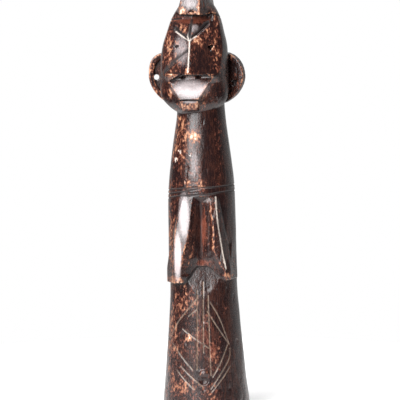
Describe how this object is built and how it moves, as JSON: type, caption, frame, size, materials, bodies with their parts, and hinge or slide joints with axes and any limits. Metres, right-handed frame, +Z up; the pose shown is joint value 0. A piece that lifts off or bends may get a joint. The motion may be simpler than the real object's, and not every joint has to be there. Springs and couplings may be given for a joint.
{
  "type": "carved wooden doll",
  "caption": "Upright carved wooden doll: a round armless body widening to a flat base, long breasts, and a head with a crest and round ears.",
  "frame": {"origin": "centre of the flat underside of the base", "axes": "+Z up along the body; the doll faces -Y, and +X is on the viewer's right"},
  "size_m": [0.0674, 0.0552, 0.292],
  "materials": {
    "patinated_wood": "hand-polished dark brown patina, worn pale on edges"
  },
  "bodies": {
    "root": {"carved_doll": "patinated_wood"}
  },
  "joints": []
}
